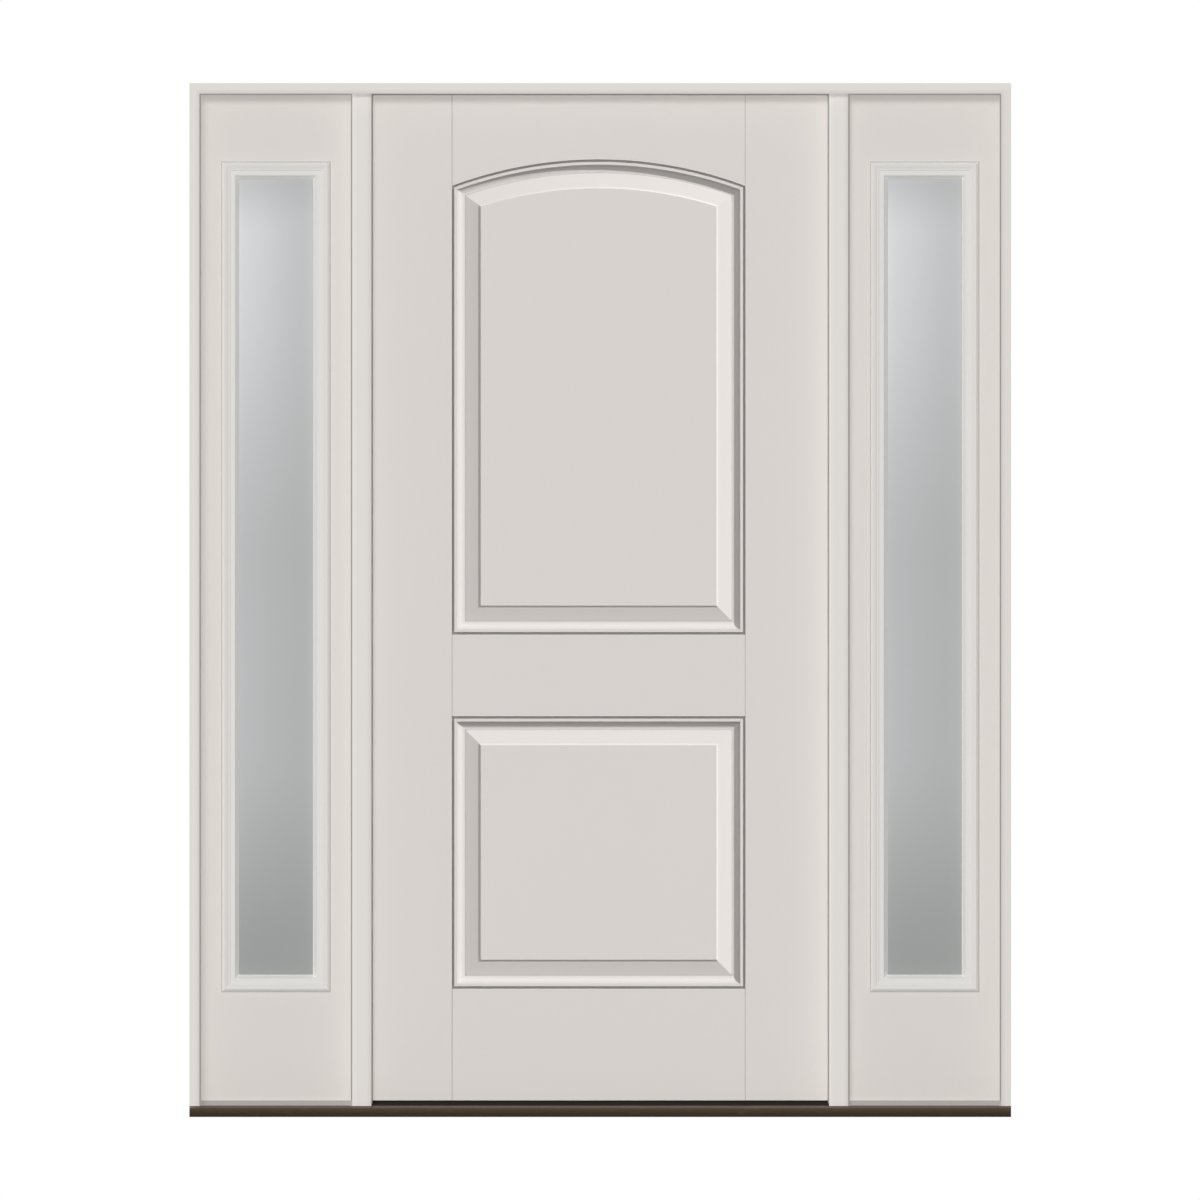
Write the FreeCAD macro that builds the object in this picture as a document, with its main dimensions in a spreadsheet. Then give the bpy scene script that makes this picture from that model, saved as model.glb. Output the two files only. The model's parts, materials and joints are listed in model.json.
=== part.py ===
"""An inward-opening entrance door between two fixed sidelights, with its frame, sill and hinges.

Seen from outside, X runs to the right, Y into the house and Z up. The origin is on the underside of
the sill, in the middle of its length and of the frame's depth. Lengths are in millimetres.
"""
import FreeCAD
import Part
import math
import os
from types import SimpleNamespace

import Sketcher

SIZES = (
    # Frame: outer jambs, mullions beside the door, and head
    ("frame_depth", 116),
    ("jamb_face", 20),
    ("mullion_face", 38),
    ("mullion_setback", 30),
    ("head_face", 21),
    ("door_bay", 908),
    ("sidelight_bay", 303),
    ("bay_height", 2008),
    ("eased_width", 8),
    ("eased_drop", 1.7),
    # How the leaf and the sidelights sit behind the stops
    ("leaf_thickness", 44.5),
    ("leaf_gap", 5),
    ("leaf_overlap", 5),
    ("seal_space", 5),
    ("seal_clearance", 0.5),
    ("door_seal_show", 2.5),
    ("seal_corner_gap", 0.3),
    ("sidelight_gap", 1),
    ("sidelight_overlap", 6),
    ("sidelight_seal_show", 2.5),
    # Sill, threshold and door bottom
    ("sill_height", 22),
    ("sill_projection", 27),
    ("nose_drop", 3),
    ("nose_radius", 13),
    ("sill_wall", 2.5),
    ("leaf_lift", 11),
    ("cap_height", 4.8),
    ("cap_depth", 22),
    ("cap_round", 2),
    ("sweep_wall", 1.2),
    ("sweep_inset", 2.5),
    ("fin_setback", 23),
    ("fin_width", 2.5),
    ("fin_spacing", 9),
    ("fin_lift", 5),
    # Stiles, rails and panel openings of the leaf
    ("hinge_stile_width", 164.5),
    ("lock_stile_width", 171),
    ("bottom_rail_height", 221.5),
    ("lower_opening_height", 540.5),
    ("lock_rail_height", 162),
    ("top_rail_height", 135.4),
    ("arch_rise", 52.6),
    ("joint_gap", 0.15),
    ("joint_chamfer", 1),
    # Sticking: the moulded edge of stiles and rails
    ("quirk_width", 4.8),
    ("quirk_taper", 0.7),
    ("quirk_depth", 5),
    ("bead_reach", 10.4),
    ("bead_drop", 0.8),
    ("cove_reach", 25),
    ("stick_width", 26.5),
    ("stick_depth", 9),
    ("lip", 2),
    ("groove_depth", 12),
    # Raised panels
    ("tongue", 10),
    ("tongue_clearance", 0.15),
    ("bevel_width", 27.6),
    ("bevel_rise", 6.2),
    ("step_width", 3.4),
    ("field_depth", 2.5),
    # Sidelight glazing
    ("lite_width", 213),
    ("lite_height", 1644),
    ("lite_drop", 145.5),
    ("lite_lap", 14),
    ("lite_fit", 0.5),
    ("lite_face", 32),
    ("lite_edge", 2),
    ("crest_reach", 5),
    ("crest_height", 8),
    ("bead_foot_reach", 12.5),
    ("fillet_height", 4.5),
    ("fillet_reach", 15),
    ("flat_start", 16.5),
    ("flat_height", 3),
    ("flat_end", 25.5),
    ("bead_bulge", 9),
    ("bead_slope", 18),
    ("glass_clearance", 3),
    ("pane_thickness", 4),
    ("pane_spacing", 14),
    ("spacer_inset", 2),
    ("spacer_width", 8),
    # Butt hinges
    ("hinge_height", 102),
    ("hinge_width", 38),
    ("hinge_wall", 2.5),
    ("hinge_corner", 10),
    ("mortise_clearance", 0.2),
    ("knuckle_radius", 6.5),
    ("knuckle_gap", 0.3),
    ("pin_offset", 7.5),
    ("pin_radius", 3.5),
    ("pin_clearance", 0.05),
    ("pin_head_radius", 5),
    ("pin_head_height", 2.5),
    ("top_hinge_drop", 178),
    ("bottom_hinge_lift", 279),
)
KNUCKLES = 5
HINGES = ("bottom", "middle", "top")
SAME_PLACE = 1e-6

doc = FreeCAD.newDocument("DoorWithSidelights")
sheet = doc.addObject("Spreadsheet::Sheet", "Sizes")
for row, (alias, length) in enumerate(SIZES, start=1):
    sheet.set(f"A{row}", str(length))
    sheet.setAlias(f"A{row}", alias)
doc.recompute()


class Size:
    """A length with its value and the expression that ties it to the sheet."""

    def __init__(self, value, text):
        self.value = value
        self.text = text

    def __add__(self, other):
        other = as_size(other)
        return Size(self.value + other.value, f"({self.text} + {other.text})")

    def __sub__(self, other):
        other = as_size(other)
        return Size(self.value - other.value, f"({self.text} - {other.text})")

    def __rsub__(self, other):
        return as_size(other) - self

    def __mul__(self, other):
        other = as_size(other)
        return Size(self.value * other.value, f"({self.text} * {other.text})")

    def __truediv__(self, other):
        other = as_size(other)
        return Size(self.value / other.value, f"({self.text} / {other.text})")

    def __neg__(self):
        return 0 - self

    __radd__ = __add__
    __rmul__ = __mul__


def as_size(item):
    """Turns a plain number into a Size."""
    return item if isinstance(item, Size) else Size(float(item), f"{float(item)}")


def root(size):
    """Square root of a Size."""
    return Size(math.sqrt(size.value), f"sqrt({size.text})")


def cap_radius(half_chord, rise):
    """Radius of the arc that rises by rise over half_chord and is level at its crown."""
    return (half_chord * half_chord + rise * rise) / (2 * rise)


s = SimpleNamespace(**{alias: Size(float(getattr(sheet, alias)), f"Sizes.{alias}") for alias, _ in SIZES})

# Frame lines, on the right-hand side and from outside to inside
half_width = s.door_bay / 2 + s.mullion_face + s.sidelight_bay + s.jamb_face
outside = -s.frame_depth / 2
inside = s.frame_depth / 2
leaf_front = inside - s.leaf_thickness
leaf_middle = inside - s.leaf_thickness / 2
stop_back = leaf_front - s.seal_space
deck = s.sill_height
head_low = deck + s.bay_height
head_top = head_low + s.head_face
door_rabbet = s.leaf_gap + s.leaf_overlap
sidelight_rabbet = s.sidelight_gap + s.sidelight_overlap
head_rabbet = head_low + door_rabbet
door_stop = s.door_bay / 2
web_door_side = door_stop + door_rabbet
mullion_edge = door_stop + s.mullion_face
web_sidelight_side = mullion_edge - sidelight_rabbet
jamb_stop = mullion_edge + s.sidelight_bay
jamb_base = jamb_stop + sidelight_rabbet

# Leaf lines
leaf_edge = door_stop + s.leaf_overlap
leaf_bottom = deck + s.leaf_lift
leaf_top = head_rabbet - s.leaf_gap
hinge_seam = s.hinge_stile_width - leaf_edge
lock_seam = leaf_edge - s.lock_stile_width
lower_sill = leaf_bottom + s.bottom_rail_height
lower_head = lower_sill + s.lower_opening_height
upper_sill = lower_head + s.lock_rail_height
apex = leaf_top - s.top_rail_height
spring = apex - s.arch_rise
half_opening = (lock_seam - hinge_seam) / 2
arch_x = (lock_seam + hinge_seam) / 2
arch_radius = cap_radius(half_opening, s.arch_rise)
arch_z = apex - arch_radius

# Sidelight lines
panel_top = head_rabbet - s.sidelight_gap
lite_high = panel_top - s.lite_drop
lite_middle = lite_high - s.lite_height / 2

# Hinge lines: the pin stands in the middle of the gap, clear of the inside faces
pin_x = -(web_door_side + leaf_edge) / 2
pin_y = inside + s.pin_offset
bottom_hinge = leaf_bottom + s.bottom_hinge_lift
top_hinge = leaf_top - s.top_hinge_drop - s.hinge_height
hinge_levels = dict(zip(HINGES, (bottom_hinge, (bottom_hinge + top_hinge) / 2, top_hinge)))

PLANES = {"plan": "XY_Plane", "front": "XZ_Plane", "side": "YZ_Plane"}
nodes = []


def bind(item, path, size):
    """Ties one property of an object to the sheet."""
    item.setExpression(path, as_size(size).text)


def keep(item):
    """Adds a finished sub-part to those that are written out."""
    nodes.append(item)
    return item


def origin_feature(body, role):
    """The plane or axis of a body's own origin with this role."""
    return next(item for item in body.Origin.OriginFeatures if item.Role == role)


def sketch_on(body, name, plane, level, origin=(0, 0)):
    """A sketch parallel to one of the body's planes; a front sketch stands at Y = level."""
    sketch = body.newObject("Sketcher::SketchObject", name)
    sketch.AttachmentSupport = [(origin_feature(body, PLANES[plane]), "")]
    sketch.MapMode = "FlatFace"
    bind(sketch, "AttachmentOffset.Base.x", origin[0])
    bind(sketch, "AttachmentOffset.Base.y", origin[1])
    bind(sketch, "AttachmentOffset.Base.z", -as_size(level) if plane == "front" else level)
    return sketch


def arc_between(start, end, radius, turn, large):
    """Arc of this radius from start to end: turn is 1 for left-hand and -1 for right-hand."""
    chord = end - start
    rise = math.sqrt(max(radius ** 2 - chord.Length ** 2 / 4, 0))
    left = FreeCAD.Vector(-chord.y, chord.x, 0).normalize()
    centre = (start + end) / 2 + left * rise * turn * (-1 if large else 1)
    first, last = (start, end) if turn > 0 else (end, start)
    angles = [math.atan2(p.y - centre.y, p.x - centre.x) for p in (first, last)]
    return Part.ArcOfCircle(Part.Circle(centre, FreeCAD.Vector(0, 0, 1), radius), *angles)


def arc_to(x, y, radius, turn, large=False):
    """A corner that is reached along an arc."""
    return (x, y, radius, turn, large)


def mirrored(outline):
    """The same outline with X turned round."""
    return [(-p[0], p[1]) if len(p) == 2 else (-p[0], p[1], p[2], -p[3], p[4]) for p in outline]


def draw(sketch, outline):
    """Closes an outline through its corners and ties each corner and radius to the sheet."""
    corners = [(as_size(p[0]), as_size(p[1])) for p in outline]
    points = [FreeCAD.Vector(x.value, y.value, 0) for x, y in corners]
    ends, arcs = [], []
    for k, corner in enumerate(outline):
        if len(corner) == 2:
            ends.append((sketch.addGeometry(Part.LineSegment(points[k - 1], points[k])), 1, 2))
            continue
        _, _, radius, turn, large = corner
        curve = sketch.addGeometry(arc_between(points[k - 1], points[k], radius.value, turn, large))
        ends.append((curve, 1, 2) if turn > 0 else (curve, 2, 1))
        arcs.append((curve, radius))
    ties = []
    for k, (curve, _, end) in enumerate(ends):
        following, start, _ = ends[(k + 1) % len(ends)]
        x, y = corners[k]
        sketch.addConstraint(Sketcher.Constraint("Coincident", curve, end, following, start))
        ties.append((Sketcher.Constraint("DistanceX", -1, 1, curve, end, x.value), x))
        ties.append((Sketcher.Constraint("DistanceY", -1, 1, curve, end, y.value), y))
    ties += [(Sketcher.Constraint("Radius", curve, radius.value), radius) for curve, radius in arcs]
    tie_all(sketch, ties)


def draw_circle(sketch, x, y, radius):
    """A circle tied to the sheet."""
    circle = Part.Circle(FreeCAD.Vector(x.value, y.value, 0), FreeCAD.Vector(0, 0, 1), radius.value)
    curve = sketch.addGeometry(circle)
    tie_all(sketch, [
        (Sketcher.Constraint("DistanceX", -1, 1, curve, 3, x.value), x),
        (Sketcher.Constraint("DistanceY", -1, 1, curve, 3, y.value), y),
        (Sketcher.Constraint("Radius", curve, radius.value), radius),
    ])


def tie_all(sketch, ties):
    """Adds dimensional constraints and binds each to its size."""
    numbers = sketch.addConstraint([constraint for constraint, _ in ties])
    for number, (_, size) in zip(numbers, ties):
        sketch.setExpression(f"Constraints[{number}]", size.text)


def new_body(name):
    """An empty body with this label."""
    return doc.addObject("PartDesign::Body", name)


def pad(body, name, plane, start, end, outline, bore=None):
    """Raises an outline from start to end along the plane's own axis."""
    sketch = sketch_on(body, f"{name}_outline", plane, end if plane == "front" else start)
    draw(sketch, outline)
    if bore:
        draw_circle(sketch, *bore)
    raised = body.newObject("PartDesign::Pad", f"{name}_pad")
    raised.Profile = sketch
    bind(raised, "Length", as_size(end) - start)
    return raised


def bar(name, plane, start, end, outline):
    """A body that is one outline raised from start to end."""
    body = new_body(name)
    pad(body, name, plane, start, end, outline)
    return body


def repeat(body, feature, length, count):
    """Repeats a feature upwards, count times over length."""
    pattern = body.newObject("PartDesign::LinearPattern", f"{feature.Name}_row")
    pattern.Originals = [feature]
    pattern.Direction = (origin_feature(body, "Z_Axis"), [""])
    bind(pattern, "Length", length)
    pattern.Occurrences = count
    body.Tip = pattern


def turned(body, name, sketch, axis, kind="PartDesign::Revolution"):
    """Revolves a sketch about one of its own axes, adding or cutting."""
    feature = body.newObject(kind, name)
    feature.Profile = sketch
    feature.ReferenceAxis = (sketch, [axis])
    feature.Angle = 360
    return feature


def combine(kind, name, base, tool):
    """A boolean of two objects."""
    item = doc.addObject(kind, name)
    item.Base = base
    item.Tool = tool
    return item


def cut(name, base, tool):
    """The base without the tool."""
    return combine("Part::Cut", name, base, tool)


def joined(name, shapes):
    """Several tools as one."""
    item = doc.addObject("Part::MultiFuse", name)
    item.Shapes = shapes
    return item


def rectangle(left, bottom, right, top):
    """The four corners of a rectangle."""
    return [(left, bottom), (right, bottom), (right, top), (left, top)]


def make_sill():
    """A bronze channel with a rounded, falling nose, over a solid core."""
    front = outside - s.sill_projection
    nose_top = deck - s.nose_drop
    core_back = inside - s.sill_wall
    core_front = front + s.sill_wall
    nose_centre = front + s.nose_radius
    nose_foot = nose_top - s.nose_radius
    under_deck = deck - s.sill_wall
    core = [
        (core_back, 0),
        (core_back, under_deck),
        (outside, under_deck),
        (nose_centre, nose_top - s.sill_wall),
        arc_to(core_front, nose_foot, s.nose_radius - s.sill_wall, 1),
        (core_front, 0),
    ]
    skin = [
        (inside, 0),
        (inside, deck),
        (outside, deck),
        (nose_centre, nose_top),
        arc_to(front, nose_foot, s.nose_radius, 1),
        (front, 0),
        (core_front, 0),
        (core_front, nose_foot),
        arc_to(nose_centre, nose_top - s.sill_wall, s.nose_radius - s.sill_wall, -1),
        (outside, under_deck),
        (core_back, under_deck),
        (core_back, 0),
    ]
    keep(bar("sill_deck", "side", -half_width, half_width, skin))
    keep(bar("sill_core", "side", -half_width, half_width, core))

    cap_top = deck + s.cap_height
    cap_back = stop_back + s.cap_depth
    cap = [
        (cap_back, deck),
        (cap_back, cap_top),
        (stop_back + s.cap_round, cap_top),
        arc_to(stop_back, cap_top - s.cap_round, s.cap_round, 1),
        (stop_back, deck),
    ]
    keep(bar("threshold_cap", "side", -web_door_side, web_door_side, cap))
    filler = rectangle(stop_back, deck, inside, leaf_bottom)
    keep(bar("left_sill_filler", "side", -jamb_base, -web_sidelight_side, filler))
    keep(bar("right_sill_filler", "side", web_sidelight_side, jamb_base, filler))


def make_frame():
    """Head over the jambs and mullions, each rabbeted behind its stop and eased along its edge."""
    wide, drop = s.eased_width, s.eased_drop
    ease = cap_radius(wide, drop)
    head = keep(bar("head_jamb", "side", -half_width, half_width, [
        (outside, head_top),
        (outside, head_low + wide),
        arc_to(outside + drop, head_low, ease, 1),
        (stop_back, head_low),
        (stop_back, head_rabbet),
        (inside, head_rabbet),
        (inside, head_top),
    ]))
    jamb = [
        (half_width, outside),
        (half_width, inside),
        (jamb_base, inside),
        (jamb_base, stop_back),
        (jamb_stop, stop_back),
        (jamb_stop, outside + drop),
        arc_to(jamb_stop + wide, outside, ease, 1),
    ]
    face = outside + s.mullion_setback
    mullion = [
        (mullion_edge - wide, face),
        arc_to(mullion_edge, face + drop, ease, 1),
        (mullion_edge, stop_back),
        (web_sidelight_side, stop_back),
        (web_sidelight_side, inside),
        (web_door_side, inside),
        (web_door_side, stop_back),
        (door_stop, stop_back),
        (door_stop, face + drop),
        arc_to(door_stop + wide, face, ease, 1),
    ]
    left_tools = joined("left_mullion_cuts", [head, hinge_mortises("frame", -web_door_side - s.hinge_wall)])
    for name, outline, tool in (
        ("left_jamb", mirrored(jamb), head),
        ("right_jamb", jamb, head),
        ("left_mullion", mirrored(mullion), left_tools),
        ("right_mullion", mullion, head),
    ):
        keep(cut(name, bar(f"{name}_blank", "plan", deck, head_top, outline), tool))


def make_seals():
    """Foam strips between the stops and what closes on them."""
    back = leaf_front - s.seal_clearance
    nose = (back - stop_back) / 2
    show = door_stop - s.door_seal_show
    strip = [
        (web_door_side, stop_back),
        (web_door_side, back),
        (show + nose, back),
        arc_to(show, back - nose, nose, 1),
        arc_to(show + nose, stop_back, nose, 1),
    ]
    low = deck + s.cap_height + s.seal_corner_gap
    keep(bar("lock_side_weatherstrip", "plan", low, head_rabbet, strip))
    keep(bar("hinge_side_weatherstrip", "plan", low, head_rabbet, mirrored(strip)))
    edge = head_low - s.door_seal_show
    reach = show - s.seal_corner_gap
    keep(bar("head_weatherstrip", "side", -reach, reach, [
        (stop_back, head_rabbet),
        (stop_back, edge + nose),
        arc_to(back - nose, edge, nose, 1),
        arc_to(back, edge + nose, nose, 1),
        (back, head_rabbet),
    ]))
    near = mullion_edge + s.sidelight_seal_show
    far = jamb_stop - s.sidelight_seal_show
    top = head_low - s.sidelight_seal_show
    portal = [
        (web_sidelight_side, leaf_bottom),
        (near, leaf_bottom),
        (near, top),
        (far, top),
        (far, leaf_bottom),
        (jamb_base, leaf_bottom),
        (jamb_base, head_rabbet),
        (web_sidelight_side, head_rabbet),
    ]
    keep(bar("right_sidelight_seal", "front", stop_back, leaf_front, portal))
    keep(bar("left_sidelight_seal", "front", stop_back, leaf_front, mirrored(portal)))


def sticking(place, turn):
    """Moulded edge from the outside face to the inside one: fillet, cove, lip and panel groove.

    place takes the distance in from the joint line and the depth behind the outside face.
    """
    cove = cap_radius(s.cove_reach - s.bead_reach, s.stick_depth - s.bead_drop)
    groove = s.stick_width - s.groove_depth
    near = [
        (s.bead_reach, as_size(0)),
        (s.bead_reach, s.bead_drop),
        (s.cove_reach, s.stick_depth),
        (s.stick_width, s.stick_depth),
        (s.stick_width, s.stick_depth + s.lip),
        (groove, s.stick_depth + s.lip),
    ]
    far = [(reach, s.leaf_thickness - depth) for reach, depth in reversed(near)]
    corners = [place(*corner) for corner in near + far]
    cove_foot = near.index((s.cove_reach, s.stick_depth))
    for k in (cove_foot, -cove_foot):
        corners[k] = arc_to(*corners[k], cove, turn)
    return corners


def stile_section(seam, edge, side):
    """Plan of a stile: side is 1 where the panels lie to its right and -1 to its left."""
    moulded = sticking(lambda reach, depth: (seam + reach * side, leaf_front + depth), -side)
    return [(edge, leaf_front)] + moulded + [(edge, inside)]


def upper_edge(level):
    """Section of a rail's moulded top, from the outside face to the inside one."""
    return sticking(lambda reach, depth: (leaf_front + depth, level + reach), 1)


def under_edge(level):
    """Section of a rail's moulded underside, from the inside face back to the outside one."""
    return sticking(lambda reach, depth: (inside - depth, level - reach), 1)


def arch_groove(body):
    """Hollows a rail to the arch, with the same moulded edge turned about the arch's centre."""
    sketch = sketch_on(body, "top_rail_arch_section", "side", arch_x, (0, arch_z))
    edge = sticking(lambda reach, depth: (leaf_front + depth, arch_radius - reach), -1)
    below_rail = half_opening
    draw(sketch, edge + [(inside, below_rail), (leaf_front, below_rail)])
    turned(body, "top_rail_arch", sketch, "H_Axis", "PartDesign::Groove")


def opening_outline(sill, top, inset, arched):
    """Panel opening moved in by inset, square or with an arched head of the same centre."""
    left, right, low = hinge_seam + inset, lock_seam - inset, sill + inset
    if not arched:
        return rectangle(left, low, right, top - inset)
    radius = arch_radius - inset
    half = half_opening - inset
    corner = arch_z + root(radius * radius - half * half)
    return [(left, low), (right, low), (right, corner), arc_to(left, corner, radius, 1)]


def quirk_ring(name, sill, top, arched, face, inward):
    """Cutter for the mitred groove round a panel opening, on one face of the leaf."""
    body = new_body(name)
    floor = face + s.quirk_depth * inward
    walls = (
        ("PartDesign::AdditiveLoft", "outer", as_size(0), s.quirk_taper),
        ("PartDesign::SubtractiveLoft", "inner", s.quirk_width, s.quirk_width - s.quirk_taper),
    )
    for kind, wall, at_face, at_floor in walls:
        sections = []
        for part, level, inset in (("face", face, at_face), ("floor", floor, at_floor)):
            sketch = sketch_on(body, f"{name}_{wall}_{part}", "front", level)
            draw(sketch, opening_outline(sill, top, inset, arched))
            sections.append(sketch)
        loft = body.newObject(kind, f"{name}_{wall}")
        loft.Profile = sections[0]
        loft.Sections = [(sections[1], [""])]
        loft.Ruled = True
    return body


def face_laps(name, seam, side, ease):
    """Cutter for a stile's moulded edge, as deep as the quirk, where the faces of the rails lap over it."""
    reach = seam + s.stick_width * side
    left, right = (seam, reach) if side > 0 else (reach, seam)
    spans = (
        ("bottom", leaf_bottom, lower_sill + ease),
        ("middle", lower_head - ease, upper_sill + ease),
        ("top", spring - ease, leaf_top),
    )
    laps = []
    for rail, low, high in spans:
        outline = rectangle(left, low, right, high)
        laps.append(bar(f"{name}_{rail}_outside", "front", leaf_front, leaf_front + s.quirk_depth, outline))
        laps.append(bar(f"{name}_{rail}_inside", "front", inside - s.quirk_depth, inside, outline))
    return joined(name, laps)


def chamfer_ends(body, feature):
    """Eases the two ends of a rail on both faces, so that its joints show as fine lines."""
    doc.recompute()
    box = feature.Shape.BoundBox
    names = []
    for number, edge in enumerate(feature.Shape.Edges, start=1):
        extent = edge.BoundBox
        at_end = min(abs(extent.XMin - box.XMin), abs(extent.XMax - box.XMax)) < SAME_PLACE
        at_face = min(abs(extent.YMin - box.YMin), abs(extent.YMax - box.YMax)) < SAME_PLACE
        if at_end and at_face and max(extent.XLength, extent.YLength) < SAME_PLACE:
            names.append(f"Edge{number}")
    chamfer = body.newObject("PartDesign::Chamfer", f"{body.Name}_ends")
    chamfer.Base = (feature, names)
    bind(chamfer, "Size", s.joint_chamfer)


def panel_edge(place):
    """Corners of a raised panel's edge on the outside face, from its tongue to its field."""
    tongue_face = s.stick_depth + s.lip + s.tongue_clearance
    bevel_end = s.stick_width + s.bevel_width
    return [
        place(s.stick_width - s.tongue, tongue_face),
        place(s.stick_width, tongue_face),
        place(bevel_end, tongue_face - s.bevel_rise),
        place(bevel_end + s.step_width, s.field_depth),
    ]


def behind(outside_run, axis):
    """The run on the outside face, carried round behind to the inside face."""
    back = []
    for corner in reversed(outside_run):
        moved = list(corner)
        moved[axis] = 2 * leaf_middle - corner[axis]
        back.append(tuple(moved))
    return outside_run + back


def raised_panel(name, sill, top, arched):
    """A panel bevelled on both faces, as what its upright and level sections have in common."""
    across = panel_edge(lambda reach, depth: (hinge_seam + reach, leaf_front + depth))
    across += reversed(panel_edge(lambda reach, depth: (lock_seam - reach, leaf_front + depth)))
    upright = panel_edge(lambda reach, depth: (leaf_front + depth, sill + reach))
    if arched:
        upright.append((leaf_front + s.field_depth, top))
    else:
        upright += reversed(panel_edge(lambda reach, depth: (leaf_front + depth, top - reach)))
    column = bar(f"{name}_column", "plan", sill, top, behind(across, 1))
    course = bar(f"{name}_course", "side", hinge_seam, lock_seam, behind(upright, 0))
    if not arched:
        return combine("Part::Common", name, column, course)
    body = new_body(f"{name}_arch_cutter")
    sketch = sketch_on(body, f"{name}_arch_section", "side", arch_x, (0, arch_z))
    run = panel_edge(lambda reach, depth: (leaf_front + depth, arch_radius - reach))
    profile = behind(list(reversed(run)), 0)
    crown = arch_radius + 2 * s.arch_rise
    level = profile[0][1]
    draw(sketch, [(leaf_front, level)] + profile + [(inside, level), (inside, crown), (leaf_front, crown)])
    turned(body, f"{name}_arch", sketch, "H_Axis")
    return cut(name, combine("Part::Common", f"{name}_blank", column, course), body)


def make_leaf():
    """Stiles and coped rails round two raised panels, with a sweep under the bottom rail."""
    openings = (("lower", lower_sill, lower_head, False), ("upper", upper_sill, apex, True))
    rings = []
    for name, sill, top, arched in openings:
        rings.append(quirk_ring(f"{name}_outside_quirk", sill, top, arched, leaf_front, 1))
        rings.append(quirk_ring(f"{name}_inside_quirk", sill, top, arched, inside, -1))
        keep(raised_panel(f"{name}_panel", sill, top, arched))
    quirks = joined("quirks", rings)

    hinge_blank = bar("hinge_stile_blank", "plan", leaf_bottom, leaf_top,
                      stile_section(hinge_seam, -leaf_edge, 1))
    lock_blank = bar("lock_stile_blank", "plan", leaf_bottom, leaf_top,
                     stile_section(lock_seam, leaf_edge, -1))
    hinge_laps = face_laps("hinge_stile_laps", hinge_seam, 1, s.quirk_taper)
    lock_laps = face_laps("lock_stile_laps", lock_seam, -1, s.quirk_taper)
    housings = hinge_mortises("door", -leaf_edge)
    keep(cut("hinge_stile", hinge_blank, joined("hinge_stile_cuts", [quirks, hinge_laps, housings])))
    keep(cut("lock_stile", lock_blank, joined("lock_stile_cuts", [quirks, lock_laps])))

    rail_start = hinge_seam + s.joint_gap
    rail_end = lock_seam - s.joint_gap
    cutters = []
    for name, seam, edge, side in (("hinge", rail_start, -leaf_edge, 1), ("lock", rail_end, leaf_edge, -1)):
        section = bar(f"{name}_cope_section", "plan", leaf_bottom, leaf_top, stile_section(seam, edge, side))
        cutters.append(cut(f"{name}_cope", section, face_laps(f"{name}_rail_laps", seam, side, as_size(0))))
    copes = joined("copes", cutters)
    square_foot = [(inside, leaf_bottom), (leaf_front, leaf_bottom)]
    sections = {
        "bottom_rail": upper_edge(lower_sill) + square_foot,
        "lock_rail": upper_edge(upper_sill) + under_edge(lower_head),
        "top_rail": rectangle(leaf_front, spring - 2 * s.stick_width, inside, leaf_top),
    }
    for name, section in sections.items():
        body = new_body(f"{name}_blank")
        feature = pad(body, f"{name}_blank", "side", rail_start, rail_end, section)
        chamfer_ends(body, feature)
        if name == "top_rail":
            arch_groove(body)
        keep(cut(name, cut(f"{name}_coped", body, copes), quirks))

    plate_low = leaf_bottom - s.sweep_wall
    fin_low = deck + s.fin_lift
    fin = leaf_front + s.fin_setback
    second = fin + s.fin_spacing
    keep(bar("door_sweep", "side", s.sweep_inset - leaf_edge, leaf_edge - s.sweep_inset, [
        (leaf_front + s.sweep_inset, leaf_bottom),
        (leaf_front + s.sweep_inset, plate_low),
        (fin, plate_low),
        (fin, fin_low),
        (fin + s.fin_width, fin_low),
        (fin + s.fin_width, plate_low),
        (second, plate_low),
        (second, fin_low),
        (second + s.fin_width, fin_low),
        (second + s.fin_width, plate_low),
        (inside - s.sweep_inset, plate_low),
        (inside - s.sweep_inset, leaf_bottom),
    ]))


def lite_profile(edge, face, inward, outward):
    """Section of a lite frame from its outer edge: bead, fillet, flat and slope to the glass.

    inward is the sign of X towards the glass and outward the sign of Y away from the panel.
    """
    glass = (s.leaf_thickness - s.pane_spacing) / 2 - s.pane_thickness

    def at(reach, height):
        return (edge + reach * inward, face + height * outward)

    leg = s.lite_lap + s.lite_fit
    turn = -inward * outward
    return [
        at(as_size(0), as_size(0)),
        at(as_size(0), s.lite_edge),
        arc_to(*at(s.crest_reach, s.crest_height), s.bead_bulge, turn),
        arc_to(*at(s.bead_foot_reach, s.fillet_height), s.bead_slope, turn),
        at(s.fillet_reach, s.fillet_height),
        at(s.flat_start, s.flat_height),
        at(s.flat_end, s.flat_height),
        at(s.lite_face, -glass),
        at(leg, -glass),
        at(leg, as_size(0)),
    ]


def lite_frame(name, centre, face, outward):
    """A moulded frame carried round the lite with mitred corners."""
    body = new_body(name)
    left = centre - s.lite_width / 2
    right = centre + s.lite_width / 2
    low = lite_high - s.lite_height
    profile = sketch_on(body, f"{name}_profile", "plan", lite_middle)
    draw(profile, lite_profile(left, face, 1, outward))
    path = sketch_on(body, f"{name}_path", "front", face)
    draw(path, [(left, lite_middle), (left, lite_high), (right, lite_high), (right, low), (left, low)])
    pipe = body.newObject("PartDesign::AdditivePipe", f"{name}_pipe")
    pipe.Profile = profile
    pipe.Spine = path
    pipe.Transition = "Right corner"
    return body


def ring(name, start, end, outer, inner):
    """A flat frame between two outlines."""
    return cut(name, bar(f"{name}_outer", "front", start, end, outer),
               bar(f"{name}_inner", "front", start, end, inner))


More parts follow.
